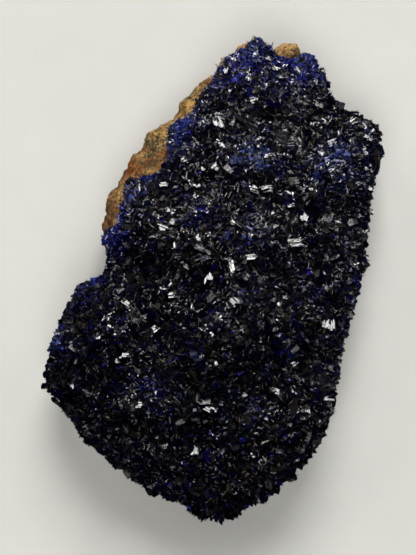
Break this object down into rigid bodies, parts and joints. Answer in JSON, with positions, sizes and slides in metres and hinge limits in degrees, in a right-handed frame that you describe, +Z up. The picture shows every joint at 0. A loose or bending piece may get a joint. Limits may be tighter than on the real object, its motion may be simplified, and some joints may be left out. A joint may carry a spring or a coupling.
{
  "type": "azurite specimen",
  "caption": "Azurite mineral specimen: a thick druse of small dark blue bladed crystals on a slab of brown limonite rock, lying flat on its broken back.",
  "frame": {"origin": "middle of the specimen's outline, on the surface that it lies on", "axes": "+Y along the slab's long way, +Z up out of the crystal face, +X across the slab"},
  "size_m": [0.0239, 0.0343, 0.0115],
  "materials": {
    "limonite": "matte",
    "azurite": "gloss"
  },
  "bodies": {
    "root": {"limonite_matrix": "limonite", "azurite_crust": "azurite"}
  },
  "joints": []
}
